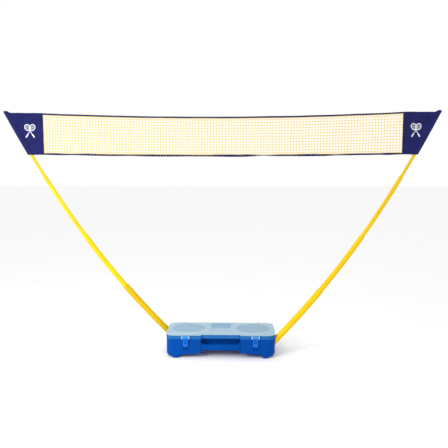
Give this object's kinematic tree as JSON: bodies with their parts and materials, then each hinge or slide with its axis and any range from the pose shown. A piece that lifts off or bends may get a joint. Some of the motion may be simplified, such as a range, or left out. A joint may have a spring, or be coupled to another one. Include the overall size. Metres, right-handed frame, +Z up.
{
  "type": "portable badminton net",
  "caption": "Free-standing badminton net: bent telescopic poles rise from sockets in a hinged carry case and stretch the net between them.",
  "frame": {"origin": "on the ground under the middle of the carry case", "axes": "+X along the net, +Y towards the hinge side of the case, +Z up"},
  "size_m": [2.9516, 0.327, 1.6645],
  "materials": {
    "case_blue": "moulded polypropylene, fine grain",
    "lid_frosted": "frosted translucent polypropylene",
    "latch_blue": "moulded, glossy",
    "socket_blue": "moulded",
    "pole_yellow": "extruded tube, satin gloss",
    "pole_fitting": "moulded",
    "steel": "zinc plated",
    "net_yellow": "knotless polyester thread",
    "tape_navy": "woven tape",
    "panel_navy": "woven polyester, stitched"
  },
  "bodies": {
    "case": {"case_base": "case_blue", "hinge_pin_left": "steel", "hinge_pin_right": "steel", "pole_socket_left": "socket_blue", "pole_socket_right": "socket_blue", "socket_screws": "steel", "pole_left_section_1": "pole_yellow", "pole_left_section_2": "pole_yellow", "pole_left_section_3": "pole_yellow", "pole_left_section_4": "pole_yellow", "pole_right_section_1": "pole_yellow", "pole_right_section_2": "pole_yellow", "pole_right_section_3": "pole_yellow", "pole_right_section_4": "pole_yellow", "pole_left_plug_1": "pole_fitting", "pole_left_plug_2": "pole_fitting", "pole_left_plug_3": "pole_fitting", "pole_left_plug_4": "pole_fitting", "pole_right_plug_1": "pole_fitting", "pole_right_plug_2": "pole_fitting", "pole_right_plug_3": "pole_fitting", "pole_right_plug_4": "pole_fitting", "pole_left_tip_cap": "pole_fitting", "pole_right_tip_cap": "pole_fitting", "net_mesh": "net_yellow", "net_top_tape": "tape_navy", "net_bottom_tape": "tape_navy", "side_band_left": "tape_navy", "side_band_right": "tape_navy", "end_panel_left": "panel_navy", "end_panel_right": "panel_navy"},
    "lid": {"case_lid": "lid_frosted", "latch_pin_left": "steel", "latch_pin_right": "steel"},
    "latch_left": {"latch_left": "latch_blue"},
    "latch_right": {"latch_right": "latch_blue"}
  },
  "joints": [
    {"name": "lid_hinge", "type": "hinge", "parent": "case", "child": "lid", "pos_m": [0, 0.159, 0.126], "axis": [-1, 0, 0], "range_deg": [0, 105]},
    {"name": "latch_left_hinge", "type": "hinge", "parent": "lid", "child": "latch_left", "pos_m": [-0.237, -0.154, 0.151], "axis": [-1, 0, 0], "range_deg": [0, 110]},
    {"name": "latch_right_hinge", "type": "hinge", "parent": "lid", "child": "latch_right", "pos_m": [0.237, -0.154, 0.151], "axis": [-1, 0, 0], "range_deg": [0, 110]}
  ]
}
